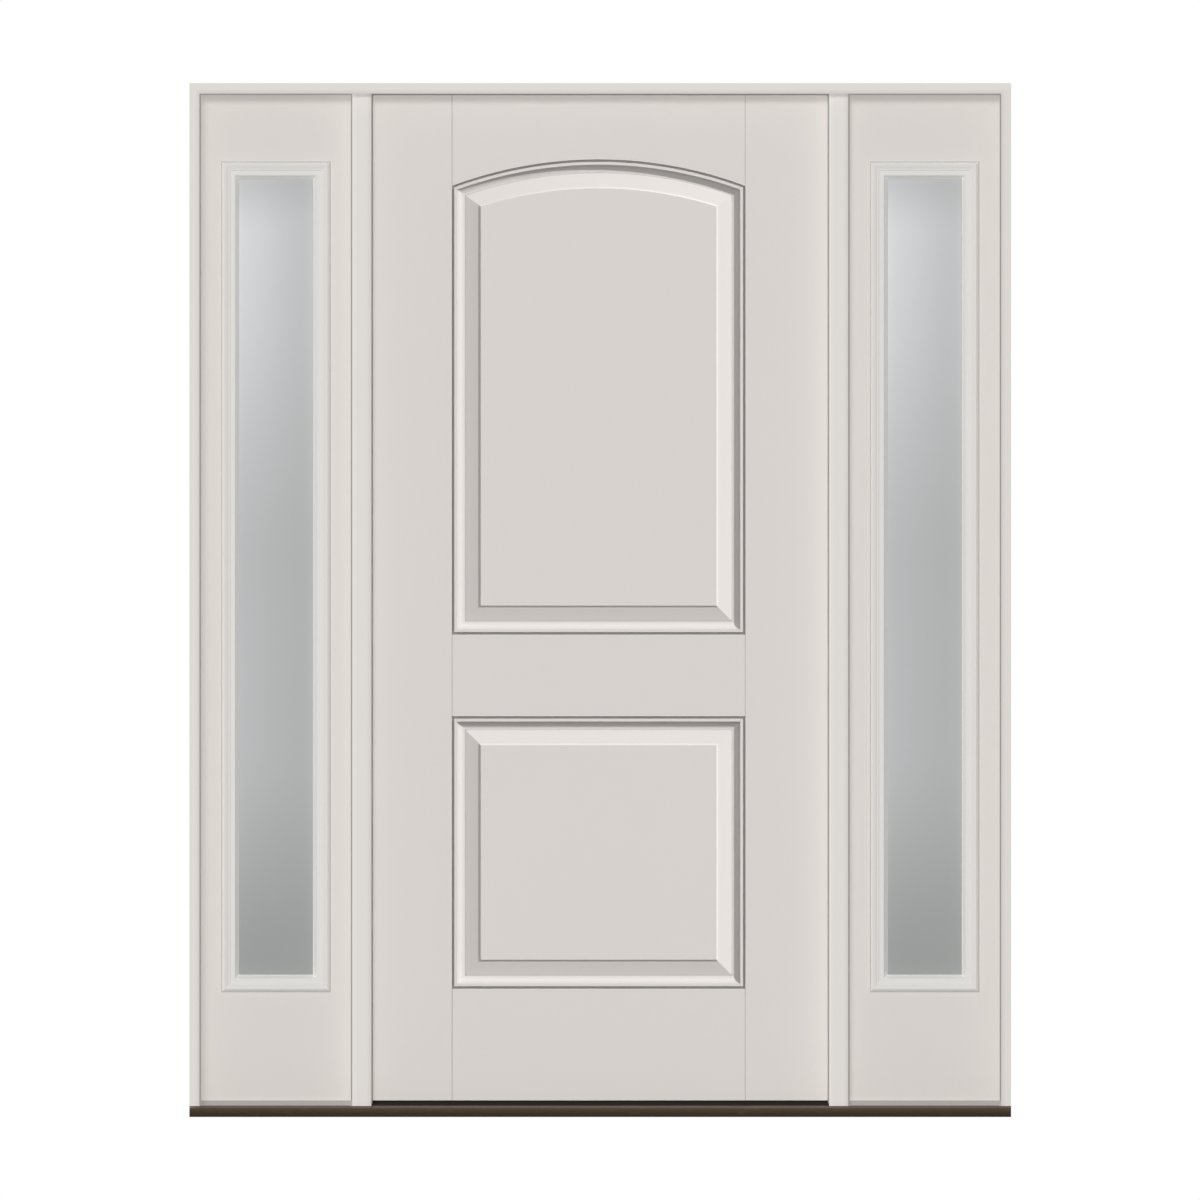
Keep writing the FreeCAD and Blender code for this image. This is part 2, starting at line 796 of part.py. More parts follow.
def make_sidelight(side, sign):
    """A flush panel with a tall lite: two clamped frames round a sealed pair of panes."""
    low_x, high_x = web_sidelight_side + s.sidelight_gap, jamb_base - s.sidelight_gap
    left, right = (low_x, high_x) if sign > 0 else (-high_x, -low_x)
    centre = (mullion_edge + jamb_stop) / 2 * sign

    def lite(inset):
        half_w, half_h = s.lite_width / 2 - inset, s.lite_height / 2 - inset
        return rectangle(centre - half_w, lite_middle - half_h, centre + half_w, lite_middle + half_h)

    slab = rectangle(left, leaf_bottom, right, panel_top)
    keep(ring(f"{side}_sidelight_panel", leaf_front, inside, slab, lite(s.lite_lap)))
    keep(lite_frame(f"{side}_outside_lite_frame", centre, leaf_front, -1))
    keep(lite_frame(f"{side}_inside_lite_frame", centre, inside, 1))
    pane = s.lite_lap + s.glass_clearance
    spacer = pane + s.spacer_inset
    inner_face = leaf_middle + s.pane_spacing / 2
    outer_face = leaf_middle - s.pane_spacing / 2
    keep(bar(f"{side}_outer_pane", "front", outer_face - s.pane_thickness, outer_face, lite(pane)))
    keep(bar(f"{side}_inner_pane", "front", inner_face, inner_face + s.pane_thickness, lite(pane)))
    keep(ring(f"{side}_glass_spacer", outer_face, inner_face, lite(spacer), lite(spacer + s.spacer_width)))


def hinge_plate(grow):
    """Side view of a hinge leaf with its two hidden corners rounded, moved out by grow."""
    back = inside - s.hinge_width - grow
    low, high = -as_size(grow), s.hinge_height + grow
    radius = s.hinge_corner + grow
    return [
        (inside, low),
        (inside, high),
        (back + radius, high),
        arc_to(back, high - radius, radius, 1),
        (back, low + radius),
        arc_to(back + radius, low, radius, 1),
    ]


def hinge_mortises(name, start):
    """Cutter for the three housings of the hinge leaves."""
    body = new_body(f"{name}_mortises")
    plate = [(p[0], p[1] + bottom_hinge) + tuple(p[2:]) for p in hinge_plate(s.mortise_clearance)]
    feature = pad(body, f"{name}_mortise", "side", start, start + s.hinge_wall, plate)
    repeat(body, feature, top_hinge - bottom_hinge, len(HINGES))
    return body


def hinge_leaf(name, start, side, knuckles):
    """One leaf with its share of the knuckles: side is 1 on the door and -1 on the frame."""
    body = new_body(name)
    pad(body, f"{name}_plate", "side", start, start + s.hinge_wall, hinge_plate(as_size(0)))
    near = s.leaf_gap / 2
    far = near + s.hinge_wall
    radius = s.knuckle_radius
    strap = [
        (pin_x + near * side, inside),
        (pin_x + far * side, inside),
        (pin_x + far * side, pin_y - root(radius * radius - far * far)),
        arc_to(pin_x + near * side, pin_y - root(radius * radius - near * near), radius, side, True),
    ]
    pitch = (s.hinge_height + s.knuckle_gap) / KNUCKLES
    low = pitch * knuckles[0]
    bore = (pin_x, pin_y, s.pin_radius + s.pin_clearance)
    feature = pad(body, f"{name}_knuckle", "plan", low, low + pitch - s.knuckle_gap, strap, bore)
    repeat(body, feature, pitch * (knuckles[-1] - knuckles[0]), len(knuckles))
    return body


def hinge_pin(name):
    """A pin whose head rests on the top knuckle and whose tip stands out below the lowest."""
    body = new_body(name)
    sketch = sketch_on(body, f"{name}_section", "front", pin_y, (pin_x, 0))
    tip = -s.pin_head_height
    crown = s.hinge_height + s.pin_head_height
    draw(sketch, [
        (0, tip),
        (s.pin_radius, tip),
        (s.pin_radius, s.hinge_height),
        (s.pin_head_radius, s.hinge_height),
        (s.pin_head_radius, crown),
        (0, crown),
    ])
    turned(body, f"{name}_turned", sketch, "V_Axis")
    return body


def make_hinges():
    """Three butt hinges on the inside, between the left mullion and the hinge stile."""
    for level, height in hinge_levels.items():
        for body in (
            hinge_leaf(f"{level}_hinge_frame_leaf", -web_door_side - s.hinge_wall, -1, (0, 2, 4)),
            hinge_leaf(f"{level}_hinge_door_leaf", -leaf_edge, 1, (1, 3)),
            hinge_pin(f"{level}_hinge_pin"),
        ):
            bind(body, "Placement.Base.z", height)
            keep(body)


def write_parts():
    """Checks every object and writes one file for each sub-part."""
    doc.recompute()
    failed = [item.Name for item in doc.Objects if {"Invalid", "Error"} & set(item.State)]
    if failed:
        raise RuntimeError(f"failed objects: {failed}")
    for item in nodes:
        if item.Shape.isNull() or not item.Shape.isValid() or len(item.Shape.Solids) != 1:
            raise RuntimeError(f"bad shape: {item.Label}, solids {len(item.Shape.Solids)}")
    os.makedirs("parts", exist_ok=True)
    for item in nodes:
        item.Shape.exportStep(f"parts/{item.Label}.step")


make_sill()
make_frame()
make_seals()
make_sidelight("left", -1)
make_sidelight("right", 1)
make_leaf()
make_hinges()
write_parts()
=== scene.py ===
"""Looks of an entrance door between two glazed sidelights: paint, glass, bronze, seals and small fittings.

Everything is in metres in the part's own frame: X to the right seen from outside, Y into the house, Z up.
"""
import json
import math

import bmesh
import bpy
import numpy as np
from bpy.props import FloatProperty, FloatVectorProperty, IntProperty, PointerProperty
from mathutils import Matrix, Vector

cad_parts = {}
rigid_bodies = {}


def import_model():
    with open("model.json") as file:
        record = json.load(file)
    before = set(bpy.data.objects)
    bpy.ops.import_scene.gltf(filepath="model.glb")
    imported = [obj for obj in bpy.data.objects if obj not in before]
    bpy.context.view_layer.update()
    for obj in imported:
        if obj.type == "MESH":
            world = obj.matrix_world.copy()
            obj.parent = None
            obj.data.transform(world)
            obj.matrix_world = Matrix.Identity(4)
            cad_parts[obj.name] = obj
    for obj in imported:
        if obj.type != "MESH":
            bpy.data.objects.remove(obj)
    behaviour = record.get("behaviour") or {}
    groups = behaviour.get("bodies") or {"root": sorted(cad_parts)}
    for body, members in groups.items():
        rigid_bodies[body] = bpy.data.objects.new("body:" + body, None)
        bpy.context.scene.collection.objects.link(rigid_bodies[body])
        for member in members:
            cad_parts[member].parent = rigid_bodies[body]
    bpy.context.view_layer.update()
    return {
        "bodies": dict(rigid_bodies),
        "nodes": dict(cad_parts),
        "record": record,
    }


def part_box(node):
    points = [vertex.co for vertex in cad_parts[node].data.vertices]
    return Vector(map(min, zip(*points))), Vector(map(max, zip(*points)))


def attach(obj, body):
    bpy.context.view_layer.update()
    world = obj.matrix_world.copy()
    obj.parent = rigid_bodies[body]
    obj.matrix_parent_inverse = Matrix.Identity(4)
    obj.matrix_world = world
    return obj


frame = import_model()

bl_info = {
    "name": "Door with sidelights",
    "version": (1, 0, 0),
    "blender": (4, 5, 0),
    "location": "View3D > Sidebar > Door",
    "description": "Finishes and fittings of an entrance door with sidelights",
    "category": "Object",
}

MM = 0.001
SIDES = ("left", "right")
HINGES = ("bottom", "middle", "top")
SILL_PIECES = ("sill_deck", "sill_core", "sill_treads")
FRAME_MEMBERS = ("left_jamb", "right_jamb", "head_jamb", "left_mullion", "right_mullion")
LEAF_PANELS = ("upper_panel", "lower_panel")
# Ends of the names of pieces too deep in the frame for the light that shadows the reveals
IN_REBATES = ("_seal", "_weatherstrip", "_cap", "_adjusters")
# Share of white that the studio light throws back from a front face
FRONT_LIGHT = 0.9
# Metres from the door to the soft boxes
SOFT_BOX_REACH = 80
# From the door towards each light
AIMS = {
    "reveal_key": (-0.13, -1, 0.25),
    "leaf_key": (0.66, -0.475, 0.58),
    "panel_key": (0.918, -0.5, 0.729),
    "frame_key": (-0.22, -0.486, 0.22),
    "right_key": (0.3, -0.486, 0.22),
    "lite_key": (-0.45, -0.58, 0.42),
    "lite_fill": (0.65, -0.41, -0.64),
    "glass_key": (0, -1, 0),
    "sill_key": (0, -0.5, 1),
    "inside_key": (-0.5, 1, 0.7),
    "open_key": (-1, 0, 0.35),
}
# Spread of the soft boxes in degrees, across and up
WIDE_BOX = (21, 10)
ROUND_BOX = (10, 10)
# Stretch of the coordinates under a grain that runs up or level
UPRIGHT = (1, 1, 0.06)
LEVEL = (0.06, 1, 1)
# Painted shade on the leaf: how dark its paint is made on the steps of its mouldings and in its grooves,
# and how wide a groove may be
STEP_PAINTED_SHADE = 0.87
GROOVE_PAINTED_SHADE = 0.36
GROOVE_REACH = 6 * MM


def lit(red, green, blue):
    """Linear base colour of a front face that is seen, under the studio light, as this 8-bit colour."""
    shares = np.array((red, green, blue)) / 255
    linear = np.where(shares > 0.04045, ((shares + 0.055) / 1.055) ** 2.4, shares / 12.92)
    return tuple(linear / FRONT_LIGHT)


def colour(name, description, default):
    """A colour that a user may change."""
    return FloatVectorProperty(
        name=name, description=description, subtype="COLOR", default=default, min=0, max=1)


def length(name, description, millimetres):
    """A length that a user may change."""
    return FloatProperty(name=name, description=description, unit="LENGTH", min=0, default=millimetres * MM)


class DoorColours(bpy.types.PropertyGroup):
    """Colours of the finishes."""

    leaf: colour("Leaf", "Paint of the leaf", lit(216, 211, 207))
    # Painted shade: the sidelight panels have the leaf's paint, made a shade darker to offset the light
    # that bounces onto them
    sidelight: colour("Sidelights", "Paint of the sidelight panels", lit(214, 209, 205))
    frame: colour("Frame", "Paint of jambs, head and mullions", lit(223, 219, 215))
    lite: colour("Lite frames", "Moulded frames round the glass", lit(219, 218, 214))
    # Painted shadow: colour of the grey strips laid in the joints of the leaf to stand for the shade in
    # them
    joint: colour("Joints", "Filler in the joints of the leaf", lit(172, 168, 164))
    lip: colour("Glazing lips", "Soft lips between lite frames and glass", lit(186, 187, 185))
    # Partly painted shade: real sealant, made grey so that it also stands for the shade along the lite
    # frames' outer edges
    caulk_and_edge_shade: colour("Sealant", "Sealant round the lite frames", lit(178, 176, 173))
    # Painted reflection: the glass's colour runs between these two as a reflection painted into it
    glass_reflection_light: colour("Bright glass", "Glass where it is brightest", lit(216, 218, 220))
    glass_reflection_dark: colour("Dark glass", "Glass where it is darkest", lit(156, 158, 157))
    bronze: colour("Bronze", "Anodised sill", (0.083, 0.056, 0.036))
    worn_bronze: colour("Worn bronze", "Sill where feet have polished it", (0.15, 0.11, 0.08))
    core: colour("Sill core", "Composite inside the sill", (0.07, 0.06, 0.055))
    cap: colour("Threshold", "Composite cap under the door", lit(57, 52, 47))
    filler: colour("Sill filler", "Strips under the sidelights", lit(173, 169, 166))
    seal: colour("Seals", "Foam strips round leaf and panels", lit(166, 162, 159))
    rubber: colour("Sweep", "Rubber under the leaf", (0.06, 0.052, 0.045))
    steel: colour("Steel", "Hinges and screws", (0.6, 0.57, 0.53))
    spacer: colour("Spacers", "Metal between the panes", (0.7, 0.7, 0.7))
    floor: colour("Floor", "Studio floor", (0.82, 0.82, 0.81))


class DoorSizes(bpy.types.PropertyGroup):
    """Sizes of the small fittings."""

    caulk_width: length("Caulk width", "Width of the sealant round a lite frame", 2.0)
    # Sizes of the grey strips of painted shadow that lie just below the leaf's faces in its joints
    joint_width: length("Joint width", "Width of a filled joint between stile and rail", 1.0)
    joint_depth: length("Joint depth", "How far the filler lies below the face", 0.3)
    hinge_screws: IntProperty(name="Hinge screws", description="Screws in a hinge leaf", default=4)
    screw_radius: length("Screw radius", "Radius of a hinge screw's head", 4.2)
    screw_rise: length("Screw rise", "Height of a hinge screw's crown over its plate", 0.45)
    crown_rise: length("Pin crown", "Height of the rounding on a hinge pin's ends", 1.8)
    plug_radius: length("Plug radius", "Radius of a screw plug on an inside lite frame", 3.2)
    plug_rise: length("Plug rise", "Height of a screw plug over the moulding", 0.6)
    plugs_high: IntProperty(name="Plugs high", description="Plugs on a lite frame's long side", default=8)
    tread_pitch: length("Tread pitch", "Distance between the ribs on the sill", 6.5)
    tread_width: length("Tread width", "Width of a rib on the sill", 3)
    tread_rise: length("Tread rise", "Height of a rib on the sill", 0.7)
    fins: IntProperty(name="Fins", description="Fins under the sweep", default=3)
    fin_width: length("Fin width", "Width of a fin under the sweep", 1.6)
    fin_gap: length("Fin gap", "Air between the fins and the sill", 1.0)
    lip_width: length("Glazing lip", "Width of the soft lip between lite frame and glass", 1.4)
    adjusters: IntProperty(name="Adjusters", description="Height screws along the threshold cap", default=5)
    adjuster_radius: length("Adjuster radius", "Radius of a height screw in the threshold cap", 4.5)
    adjuster_rise: length("Adjuster rise", "Height of a height screw's crown over the cap", 0.25)


class DoorStage(bpy.types.PropertyGroup):
    """View and light."""

    view_width: length("View width", "Width of what the camera sees", 2380.5)
    view_x: FloatProperty(name="View X", description="Middle of the view", unit="LENGTH", default=-0.0005)
    view_z: FloatProperty(name="View Z", description="Middle of the view", unit="LENGTH", default=1.0256)
    camera_distance: length("Camera distance", "From the camera to the middle of the frame", 4000)
    surround: FloatProperty(name="Surround", description="Even light from all sides", default=0.12)
    reflections: FloatProperty(name="Reflections", description="Brightness of what mirrors", default=0.45)
    reveal_key: FloatProperty(name="Reveal key", description="Light that shadows the reveals", default=0.3)
    leaf_key: FloatProperty(name="Leaf key", description="Raking light on stiles and rails", default=1.02)
    panel_key: FloatProperty(name="Panel key", description="Raking light on leaf panels", default=1.24)
    frame_key: FloatProperty(name="Frame key", description="Light on frame and panels", default=0.577)
    lite_key: FloatProperty(name="Lite key", description="Raking light on the lite frames", default=0.815)
    lite_fill: FloatProperty(name="Lite fill", description="Light into the lites' hollows", default=0.5)
    glass_key: FloatProperty(name="Glass key", description="Even light on the glass", default=0.7)
    sill_key: FloatProperty(name="Sill key", description="Light on the sill from above", default=0.8)
    inside_key: FloatProperty(name="Inside key", description="Light on the inside of the door", default=1.0)
    open_key: FloatProperty(name="Open key", description="Light on the open leaf", default=0.55)


class Socket:
    """An output socket whose arithmetic adds Math nodes to its finish."""

    def __init__(self, finish, output):
        self.finish = finish
        self.output = output

    def math(self, operation, *operands):
        return self.finish.node("ShaderNodeMath", {"operation": operation}, dict(enumerate(operands)))

    def __add__(self, other):
        return self.math("ADD", self, other)

    def __sub__(self, other):
        return self.math("SUBTRACT", self, other)

    def __rsub__(self, other):
        return self.math("SUBTRACT", other, self)

    def __mul__(self, other):
        return self.math("MULTIPLY", self, other)

    __radd__ = __add__
    __rmul__ = __mul__


class Finish:
    """The node tree of one material or of the world."""

    def __init__(self, tree):
        self.tree = tree
        tree.nodes.clear()

    def node(self, kind, settings=None, inputs=None, output=0):
        """Adds a node: settings are its properties, or a ramp's stops, and inputs its values or links."""
        node = self.tree.nodes.new(kind)
        for key, value in (settings or {}).items():
            if key == "stops":
                set_stops(node.color_ramp.elements, value)
            else:
                setattr(node, key, value)
        for key, value in (inputs or {}).items():
            if isinstance(value, Socket):
                self.tree.links.new(value.output, node.inputs[key])
            else:
                node.inputs[key].default_value = value
        return Socket(self, node.outputs[output]) if node.outputs else node

    def place(self, centre=(0, 0, 0), scale=(1, 1, 1)):
        """Object coordinates, measured from centre and stretched."""
        raw = self.node("ShaderNodeTexCoord", output="Object")
        moved = self.node("ShaderNodeVectorMath", {"operation": "SUBTRACT"}, {0: raw, 1: centre})
        return self.node("ShaderNodeVectorMath", {"operation": "MULTIPLY"}, {0: moved, 1: scale})

    def noise(self, place, size, detail=2.0):
        """Soft noise between 0 and 1 whose lumps are about this size."""
        inputs = {"Vector": place, "Scale": 1 / size, "Detail": detail}
        return self.node("ShaderNodeTexNoise", None, inputs)

    def mix(self, first, second, share):
        """A colour between two others."""
        return self.node("ShaderNodeMix", {"data_type": "RGBA"}, {0: share, 6: first, 7: second}, 2)

    def band(self, value, low, high):
        """0 below low, 1 above high and smooth between."""
        inputs = {"Value": value, "From Min": low, "From Max": high}
        return self.node("ShaderNodeMapRange", {"interpolation_type": "SMOOTHSTEP"}, inputs)

    def bump(self, height, distance):
        """Normals of a relief of this depth."""
        return self.node("ShaderNodeBump", None, {"Height": height, "Distance": distance, "Strength": 1.0})

    def openness(self, reach):
        """1 on an open face, falling towards 0 in the bottom of a groove narrower than reach."""
        settings = {"samples": 8}
        return self.node("ShaderNodeAmbientOcclusion", settings, {"Distance": reach}, "AO")

    def flatness(self):
        """1 on a face that lies across Y and 0 on one that runs along it."""
        normal = self.node("ShaderNodeTexCoord", output="Normal")
        across = self.node("ShaderNodeSeparateXYZ", None, {0: normal}, "Y")
        return across * across

    def surface(self, inputs):
        """Ends the tree with one surface shader."""
        shader = self.node("ShaderNodeBsdfPrincipled", None, inputs)
        self.node("ShaderNodeOutputMaterial", None, {"Surface": shader})


def set_stops(elements, stops):
    """Gives a colour ramp its stops."""
    while len(elements) < len(stops):
        elements.new(1)
    for element, (position, shade) in zip(elements, stops):
        element.position = position
        element.color = shade


def opaque(shade, factor=1.0):
    """A colour with alpha, made lighter or darker by a factor."""
    return (*(min(part * factor, 1.0) for part in shade), 1.0)


def new_finish(name):
    """An empty material and its tree."""
    material = bpy.data.materials.new(name)
    material.use_nodes = True
    return material, Finish(material.node_tree)


def painted(name, shade, grain, with_painted_shade=False):
    """Satin paint on timber: the grain just tells through, with roller stipple and a faint cloudiness.

    With painted shade, grooves and the steps of a moulding are painted darker than the flats.
    """
    material, finish = new_finish(name)
    place = finish.place()
    stretched = finish.place(scale=grain)
    stipple = finish.noise(place, 2.2 * MM, 1.0)
    fibres = finish.noise(stretched, 3.0 * MM, 3.0)
    cloud = finish.noise(place, 260 * MM)
    tone = finish.mix(opaque(shade, 0.985), opaque(shade, 1.012), 0.6 * cloud + 0.4 * fibres)
    # Painted shade: faces turned away from the front, such as the steps of the mouldings, and the bottoms
    # of grooves are made darker
    if with_painted_shade:
        flat = finish.band(finish.flatness(), 0.45, 0.85)
        clear = finish.band(finish.openness(GROOVE_REACH), 0.3, 0.7)
        tone = finish.mix(opaque(shade, STEP_PAINTED_SHADE), tone, flat)
        tone = finish.mix(opaque(shade, GROOVE_PAINTED_SHADE), tone, clear)
    finish.surface({
        "Base Color": tone,
        "Roughness": 0.44 + 0.14 * cloud,
        "Normal": finish.bump(stipple + 0.6 * fibres, 0.008 * MM),
        "Specular IOR Level": 0.3,
    })
    return material


def moulded(name, shade):
    """Moulded, paint-grade plastic: a fine even texture and slight changes of gloss."""
    material, finish = new_finish(name)
    place = finish.place()
    texture = finish.noise(place, 0.9 * MM, 1.0)
    cloud = finish.noise(place, 180 * MM)
    finish.surface({
        "Base Color": finish.mix(opaque(shade, 0.985), opaque(shade, 1.015), cloud),
        "Roughness": 0.38 + 0.12 * cloud,
        "Normal": finish.bump(texture, 0.008 * MM),
        "Specular IOR Level": 0.35,
    })
    return material


def glazed(name, light, dark, low, high):
    """Grey satin glass with a reflection painted into its colour: brightest high on its left, falling off
    to the right and towards the foot.
    """
    material, finish = new_finish(name)
    centre, half = (low + high) / 2, (high - low) / 2
    place = finish.place(tuple(centre), (1 / half.x, 1, 1 / half.z))
    across = finish.node("ShaderNodeSeparateXYZ", None, {0: place}, "X")
    up = finish.node("ShaderNodeSeparateXYZ", None, {0: place}, "Z")
    cloud = finish.noise(finish.place(tuple(centre), (1.6, 1, 1)), 420 * MM, 1.5)
    # Painted reflection: lighter to the left, falling off to the right and towards the foot, with a painted
    # band of sheen high up
    left = finish.band(across, 0.8, -0.8)
    fall = finish.band(up, -0.98, -0.4)
    painted_sheen = finish.band(up, 0.0, 0.88) * finish.band(up, 1.04, 0.84)
    share = 0.01 + (0.33 + 0.13 * left) * fall + (0.28 + 0.26 * left) * painted_sheen + 0.08 * (cloud - 0.5)
    finish.surface({
        "Base Color": finish.mix(opaque(dark), opaque(light), share),
        "Roughness": 0.12 + 0.1 * cloud,
        "Alpha": 0.94,
        "Specular IOR Level": 0.5,
    })
    return material


def anodised(name, shade, worn, edge_y):
    """Bronze anodising drawn along X, with scuffs that are brightest along the nose."""
    material, finish = new_finish(name)
    place = finish.place()
    drawn = finish.noise(finish.place(scale=(0.004, 1, 1)), 0.7 * MM, 2.0)
    scuffs = finish.noise(finish.place(scale=(0.25, 1, 1)), 9 * MM, 4.0)
    depth = finish.node("ShaderNodeSeparateXYZ", None, {0: place}, "Y")
    nose = finish.band(depth, edge_y + 26 * MM, edge_y + 4 * MM)
    wear = finish.band(scuffs, 0.56, 0.74) * (0.12 + 0.2 * nose)
    finish.surface({
        "Base Color": finish.mix(opaque(shade), opaque(worn), wear),
        "Metallic": 0.3,
        "Roughness": 0.4 + 0.16 * drawn,
        "Normal": finish.bump(drawn, 0.02 * MM),
        "Specular IOR Level": 0.15,
    })
    return material


def pliant(name, shade, rough, pore, gloss=0.3):
    """Foam, rubber or dull plastic: fine pores, mottled a little."""
    material, finish = new_finish(name)
    place = finish.place()
    pores = finish.noise(place, pore, 2.0)
    cloud = finish.noise(place, 60 * MM)
    finish.surface({
        "Base Color": finish.mix(opaque(shade, 0.9), opaque(shade, 1.1), 0.5 * pores + 0.5 * cloud),
        "Roughness": rough + 0.1 * cloud,
        "Normal": finish.bump(pores, 0.03 * MM),
        "Specular IOR Level": gloss,
    })
    return material


def brushed(name, shade, along):
    """Satin metal with fine brush lines along one axis."""
    material, finish = new_finish(name)
    lines = finish.noise(finish.place(scale=along), 0.35 * MM, 2.0)
    cloud = finish.noise(finish.place(), 30 * MM)
    finish.surface({
        "Base Color": finish.mix(opaque(shade, 0.86), opaque(shade, 1.06), 0.5 * lines + 0.5 * cloud),
        "Metallic": 1.0,
        "Roughness": 0.28 + 0.14 * lines,
        "Normal": finish.bump(lines, 0.01 * MM),
    })
    return material


def dress(slot, finish, nodes=None):
    """Gives the CAD nodes of one material slot, or some of them, a finish."""
    for part in frame["record"]["subparts"]:
        if part["material_slot"] == slot and (nodes is None or part["node"] in nodes):
            frame["nodes"][part["node"]].material_slots[0].material = finish


def piece(name, points, finish, body, crease=40):
    """A mesh of grids: points has copies, rows, columns and XYZ, and neighbours in a grid share a face."""
    count = points.shape[:3]
    number = np.arange(np.prod(count)).reshape(count)
    corners = (number[:, :-1, :-1], number[:, :-1, 1:], number[:, 1:, 1:], number[:, 1:, :-1])
    quads = np.stack(corners, -1).reshape(-1, 4)
    mesh = bpy.data.meshes.new(name)
    mesh.from_pydata(points.reshape(-1, 3).tolist(), [], quads.tolist())
    tidy = bmesh.new()
    tidy.from_mesh(mesh)
    bmesh.ops.remove_doubles(tidy, verts=tidy.verts, dist=0.001 * MM)
    bmesh.ops.recalc_face_normals(tidy, faces=tidy.faces)
    tidy.to_mesh(mesh)
    tidy.free()
    mesh.shade_smooth()
    mesh.set_sharp_from_angle(angle=math.radians(crease))
    mesh.materials.append(finish)
    item = bpy.data.objects.new(name, mesh)
    bpy.context.scene.collection.objects.link(item)
    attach(item, body)
    return item


def facing(round_part, axis):
    """Turns a shape that stands on Z so that it stands along axis instead."""
    turn = np.array(Vector((0, 0, 1)).rotation_difference(Vector(axis)).to_matrix())
    return round_part @ turn.T


def set_at(shape, places):
    """Copies one grid to each place."""
    return shape[None] + np.asarray(places, float)[:, None, None, :]


def revolved(radii, heights, sides=24):
    """A profile turned about Z: x = r cos a, y = r sin a, z = h."""
    angle = np.linspace(0, 2 * math.pi, sides + 1)
    radii = np.asarray(radii, float)[:, None]
    heights = np.asarray(heights, float)[:, None]
    return np.stack([radii * np.cos(angle), radii * np.sin(angle), heights + 0 * angle], -1)


def screw_head(radius, rise):
    """A low crown with a cross recess, closed below.

    Height falls from rise at the middle to zero at the rim with the square of the distance, and drops
    inside the cross, which is where the lesser of |x| and |y| is under a fifth of the radius.
    """
    ring = np.concatenate([np.linspace(0, 0.95, 15), [1.0, 1.0, 0.0]]) * radius
    grid = revolved(ring, 0 * ring, 48)
    x, y = np.abs(grid[..., 0]), np.abs(grid[..., 1])
    arms = np.clip((radius / 5 - np.minimum(x, y)) / (radius / 30), 0, 1)
    arms = arms * np.clip((0.62 * radius - np.maximum(x, y)) / (radius / 12), 0, 1)
    grid[..., 2] = rise * (1 - (ring[:, None] / radius) ** 2) - arms * 1.6 * rise
    grid[-2:, :, 2] = -2.2 * rise
    return grid


def bar(section, axis, low, high):
    """A closed section carried from low to high along one axis, with both ends drawn to its middle."""
    across = [k for k in range(3) if k != axis]
    rows = np.zeros((4, len(section), 3))
    rows[:, :, across] = section
    rows[[0, 3]] = rows[[0, 3]].mean(1, keepdims=True)
    rows[:2, :, axis] = low
    rows[2:, :, axis] = high
    return rows


def half_round(width, rise, y, z):
    """Section of a rib on a level bed: y = w/2 cos a, z = r sin a above the bed, or below it if r < 0."""
    angle = np.linspace(0, 2 * math.pi, 17)
    return np.stack([y + width / 2 * np.cos(angle), z + rise * np.maximum(np.sin(angle), 0)], -1)


def round_rectangle(inward, depth, x, z, half_width, half_height):
    """A closed section carried round an upright rectangle with mitred corners.

    Each corner lies at x and z plus or minus the half sizes less the inward distance, at Y = depth.
    """
    signs = np.array([(-1, -1), (1, -1), (1, 1), (-1, 1), (-1, -1)], float)
    reach_x = x + signs[:, :1] * (half_width - inward)
    reach_z = z + signs[:, 1:] * (half_height - inward)
    return np.stack([reach_x, np.broadcast_to(depth, reach_x.shape), reach_z], -1)


class DOOR_OT_paintwork(bpy.types.Operator):
    """Paint the leaf, the frame, the sidelight panels and the lite frames"""

    bl_idname = "door.paintwork"
    bl_label = "Paintwork"

    def execute(self, context):
        shades = context.scene.door_colours
        # The leaf's paint, on stiles, rails and panels, carries painted shade in its grooves and on the
        # steps of its mouldings
        for slot, shade in (
            ("leaf_paint", shades.leaf),
            ("frame_paint", shades.frame),
            ("sidelight_paint", shades.sidelight),
        ):
            dress(slot, painted(f"{slot}_upright", shade, UPRIGHT, slot == "leaf_paint"))
        rails = ("top_rail", "lock_rail", "bottom_rail")
        dress("leaf_paint", painted("leaf_paint_level", shades.leaf, LEVEL, True), rails)
        dress("frame_paint", painted("frame_paint_level", shades.frame, LEVEL), ("head_jamb",))
        dress("lite_moulding", moulded("lite_moulding", shades.lite))
        return {"FINISHED"}


class DOOR_OT_joint_lines(bpy.types.Operator):
    """Lay grey strips of painted shadow in the fine joints between stiles and rails on both faces of the
    leaf
    """

    bl_idname = "door.joint_lines"
    bl_label = "Joint lines"

    def execute(self, context):
        shade = context.scene.door_colours.joint
        wide, depth = context.scene.door_sizes.joint_width, context.scene.door_sizes.joint_depth
        moulding = 26.5 * MM
        arch_end = 188 * MM
        runs = []
        for rail in ("bottom_rail", "lock_rail", "top_rail"):
            low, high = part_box(rail)
            starts = {"bottom_rail": low.z, "lock_rail": low.z + moulding, "top_rail": high.z - arch_end}
            runs.append((starts[rail], high.z if rail == "top_rail" else high.z - moulding))
        low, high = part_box("lock_rail")
        front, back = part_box("hinge_stile")[0].y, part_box("hinge_stile")[1].y
        lines = []
        for near, far in ((low.x, low.x + wide), (high.x - wide, high.x)):
            for face, inward in ((front, 1), (back, -1)):
                top, floor = face + inward * depth, face + 2 * inward * depth
                section = np.array([(near, top), (far, top), (far, floor), (near, floor), (near, top)])
                lines += [bar(section, 2, *run) for run in runs]
        # Painted shadow: grey strips that darken the joints where their shade falls
        finish = painted("joint_filler", shade, UPRIGHT)
        piece("joint_lines", np.stack(lines), finish, "door_leaf")
        return {"FINISHED"}


